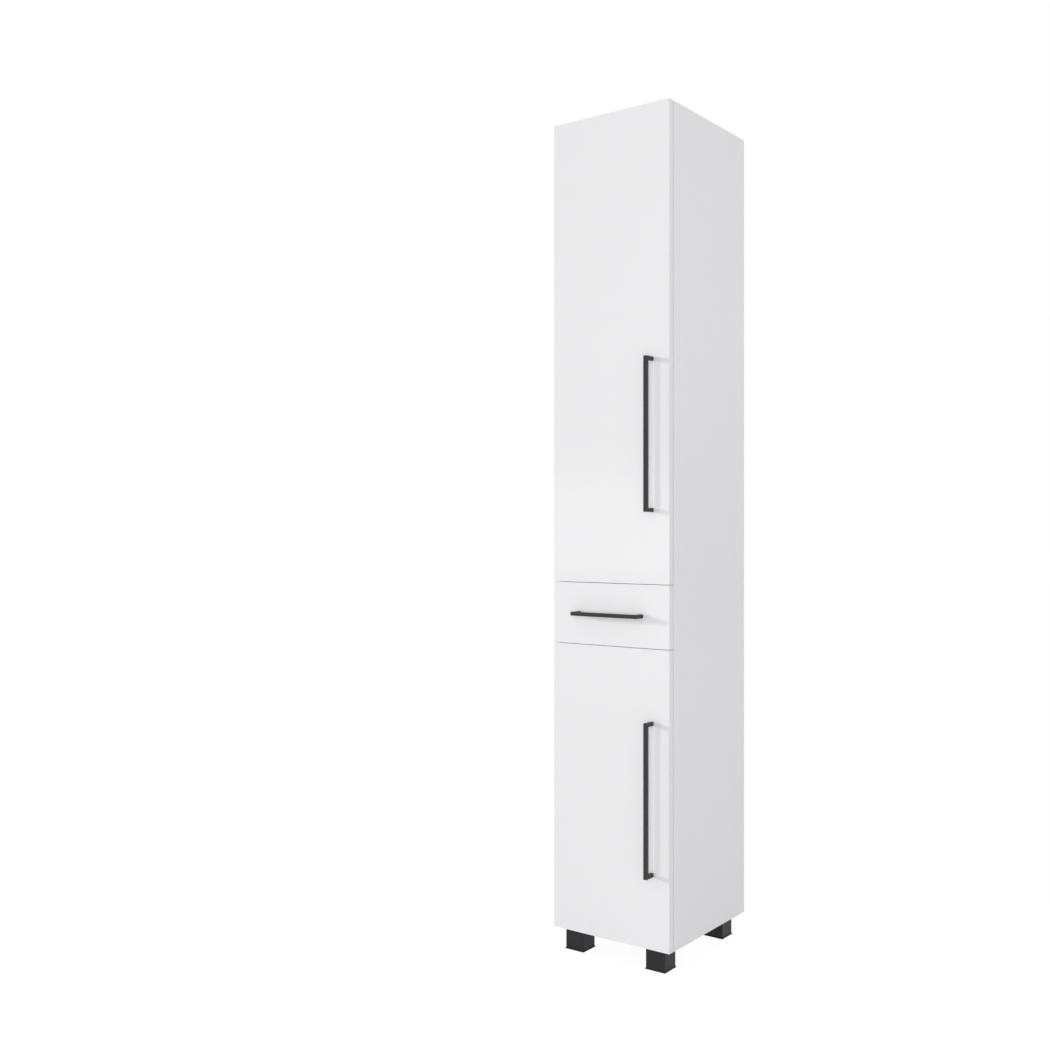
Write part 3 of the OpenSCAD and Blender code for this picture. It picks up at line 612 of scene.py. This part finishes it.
def square_rings(centre, sections, corner):
    """Rings of a square tube: sections are (width, height) pairs."""
    steps = 4
    rings = []
    for width, z in sections:
        points = rounded_outline(width, width, min(corner, width / 4), steps)
        rings.append([(centre[0] + x, centre[1] + y, z) for x, y in points])
    return rings


def leg_shell(lo, hi, centre):
    """A hollow square leg, open at the bottom, with soft upright edges."""
    w, z0, z1 = hi[0] - lo[0], lo[2], hi[2]
    wall, plate, soft = 2.5 * MM, 3 * MM, 0.4 * MM
    outer_corner, inner_corner = 1.2 * MM, 0.6 * MM
    outside = [(w - 2 * soft, z1), (w, z1 - soft), (w, z0 + soft), (w - soft, z0)]
    inside = [(w - 2 * wall + soft, z0), (w - 2 * wall, z0 + soft), (w - 2 * wall, z1 - plate)]
    return loft(
        square_rings(centre, outside, outer_corner) + square_rings(centre, inside, inner_corner)
    )


def flared_foot(lo, hi, centre, top, waist):
    """The square foot under a leg: a lip that curves up towards the leg."""
    w, z0, steps = hi[0] - lo[0], lo[2], 5
    lip_height, chamfer, corner = 0.9 * MM, 0.3 * MM, 1.0 * MM
    sole, lip = w - 0.8 * MM, z0 + lip_height
    sections = [(sole, z0), (w, z0 + chamfer), (w, lip)]
    for a in arc(steps)[1:]:
        width = waist + (w - waist) * (1 - math.sin(a))
        sections.append((width, lip + (top - lip) * (1 - math.cos(a))))
    return loft(square_rings(centre, sections, corner))


def threaded_stud(centre, z0, z1):
    """A stud with a real helical thread."""
    radius, pitch, depth = 5 * MM, 1.5 * MM, 0.55 * MM
    around, per_turn = 24, 8
    count = int((z1 - z0) / pitch * per_turn)
    rings = []
    for k in range(count + 1):
        z = z0 + (z1 - z0) * k / count
        ring = []
        for i in range(around):
            phase = ((z - z0) / pitch - i / around) % 1.0
            r = radius - depth * abs(2 * phase - 1)
            a = 2 * math.pi * i / around
            ring.append((centre[0] + r * math.cos(a), centre[1] + r * math.sin(a), z))
        rings.append(ring)
    return loft(rings)


def legs(m):
    """Legs, their feet, and the threaded stud on each foot."""
    foot_top, stud_bottom, play = 3 * MM, 2.8 * MM, 0.6 * MM
    for corner in ("front_left", "front_right", "back_left", "back_right"):
        leg, foot = corner + "_leg", corner + "_foot"
        lo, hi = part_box(leg)
        middle = ((lo[0] + hi[0]) / 2, (lo[1] + hi[1]) / 2)
        stand_in(leg, to_mesh(leg, leg_shell(lo, hi, middle)), m)
        waist = hi[0] - lo[0] + play
        lo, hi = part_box(foot)
        middle = ((lo[0] + hi[0]) / 2, (lo[1] + hi[1]) / 2)
        stand_in(foot, to_mesh(foot, flared_foot(lo, hi, middle, foot_top, waist)), m)
        stud = to_mesh(corner, threaded_stud(middle, stud_bottom, hi[2]))
        piece(corner + "_stud", stud, m["zinc"], BODY_OF[foot], smooth=60.0)


def dress_nodes(m):
    """Gives each CAD node the material of its slot, and the two thin boards their own."""
    special = {"back_panel": m["back"], "drawer_bottom": m["bottom"]}
    for node, obj in frame["nodes"].items():
        material = special.get(node) or m[SLOT_OF[node]]
        obj.data.materials.clear()
        obj.data.materials.append(material)


# Stage and light
FLOOR_HALF = 40.0
FLOOR_GLOW = 0.94
FLOOR_CATCH = 0.10
FLOOR_BOUNCE = 0.74
WORLD_LEVEL = 0.62
# The depth at which the lights aim, close to the doors' outer faces
DOORS_Y = -0.16
# Panels that the gloss mirrors: lower end, upper end and radiance of each
PANELS = (
    (0.02, 1.12, 0.12),
    (0.35, 1.18, 0.15),
    (0.72, 1.24, 0.20),
    (0.72, 1.34, 0.18),
)
PANEL_WIDTH = 2.4
PANEL_AZIMUTH = -37.0
PANEL_DISTANCE = 3.6
PANEL_STEP = 0.04


def seen_directly(tree):
    """1 for what the camera sees directly, in a reflection or through glass."""
    path = tree.add("ShaderNodeLightPath")
    seen = tree.math("MAXIMUM", path.outputs["Is Camera Ray"], path.outputs["Is Glossy Ray"])
    return tree.math("MAXIMUM", seen, path.outputs["Is Transmission Ray"])


def split_by_ray(tree, unseen, seen, out_kind):
    """Shows one shader to the camera and in gloss, and another to the light that bounces."""
    mix = tree.add("ShaderNodeMixShader")
    tree.links.new(seen_directly(tree), mix.inputs[0])
    tree.links.new(unseen.outputs[0], mix.inputs[1])
    tree.links.new(seen.outputs[0], mix.inputs[2])
    out = tree.add(out_kind)
    tree.links.new(mix.outputs[0], out.inputs[0])


def make_floor():
    """A plain white floor that keeps a faint shadow."""
    bm = bmesh.new()
    bmesh.ops.create_grid(bm, x_segments=8, y_segments=8, size=FLOOR_HALF)
    mesh = to_mesh("floor", bm)
    floor = bpy.data.objects.new("floor", mesh)
    scene.collection.objects.link(floor)
    material = bpy.data.materials.new("floor_white")
    t = Tree(material)
    glow = t.add("ShaderNodeEmission", Color=grey(1.0), Strength=FLOOR_GLOW)
    catch = t.add("ShaderNodeBsdfDiffuse", Color=grey(FLOOR_CATCH))
    shown = t.add("ShaderNodeAddShader")
    t.links.new(glow.outputs[0], shown.inputs[0])
    t.links.new(catch.outputs[0], shown.inputs[1])
    bounce = t.add("ShaderNodeBsdfDiffuse", Color=grey(FLOOR_BOUNCE))
    split_by_ray(t, bounce, shown, "ShaderNodeOutputMaterial")
    mesh.materials.append(material)


def make_world():
    """An even studio that gives soft light and looks white."""
    world = bpy.data.worlds.new("studio")
    scene.world = world
    t = Tree(world)
    light = t.add("ShaderNodeBackground", Color=grey(1.0), Strength=WORLD_LEVEL)
    white = t.add("ShaderNodeBackground", Color=grey(1.0), Strength=1.0)
    split_by_ray(t, light, white, "ShaderNodeOutputWorld")


def place_light(name, data, azimuth, elevation, distance, target=(0.0, 0.0, 0.0)):
    """Puts a light at a distance from its target, which it looks at.

    Azimuth 0 is in front of the cabinet, and it grows to the right.
    """
    a, e = math.radians(azimuth), math.radians(elevation)
    away = Vector((math.sin(a) * math.cos(e), -math.cos(a) * math.cos(e), math.sin(e)))
    obj = bpy.data.objects.new(name, data)
    obj.location = Vector(target) + away * distance
    obj.rotation_euler = away.to_track_quat("Z", "Y").to_euler()
    scene.collection.objects.link(obj)
    return obj


def area_light(name, size, power, **place):
    """A soft panel that the camera doesn't see."""
    data = bpy.data.lights.new(name, "AREA")
    data.shape = "RECTANGLE"
    data.size, data.size_y = size
    data.energy = power
    obj = place_light(name, data, **place)
    obj.visible_camera = False
    return obj


def far_light(name, strength, spread, **place):
    """A far, slightly soft light that draws the handles' shadows on the fronts."""
    data = bpy.data.lights.new(name, "SUN")
    data.energy = strength
    data.angle = math.radians(spread)
    return place_light(name, data, **place)


def make_lights():
    """Two soft lights and a far one round the fronts, and pale panels for the gloss to mirror."""
    left = far_light(
        "left", strength=1.29, spread=7.0, azimuth=-65.5, elevation=9.5, distance=8.0
    )
    left.visible_glossy = False
    main_light = area_light(
        "main", size=(2.0, 2.4), power=40.2,
        azimuth=25.0, elevation=1.5, distance=3.6, target=(0.0, DOORS_Y, 0.85),
    )
    main_light.visible_glossy = False
    area_light(
        "right", size=(1.2, 1.6), power=8.3,
        azimuth=100.0, elevation=1.0, distance=2.2, target=(0.15, 0.0, 1.55),
    )
    for i, (low, high, radiance) in enumerate(PANELS):
        height = high - low
        panel = area_light(
            f"panel_{i}", size=(PANEL_WIDTH, height),
            power=math.pi * PANEL_WIDTH * height * radiance,
            azimuth=PANEL_AZIMUTH, elevation=0.0, distance=PANEL_DISTANCE + PANEL_STEP * i,
            target=(0.0, DOORS_Y, (low + high) / 2),
        )
        panel.visible_diffuse = False


def main():
    scene.view_settings.view_transform = "Standard"
    make_camera()
    materials = make_materials()
    dress_nodes(materials)
    sides(materials)
    fixed_boards(materials)
    shelves(materials)
    fronts(materials)
    handles(materials)
    legs(materials)
    make_floor()
    make_world()
    make_lights()


main()
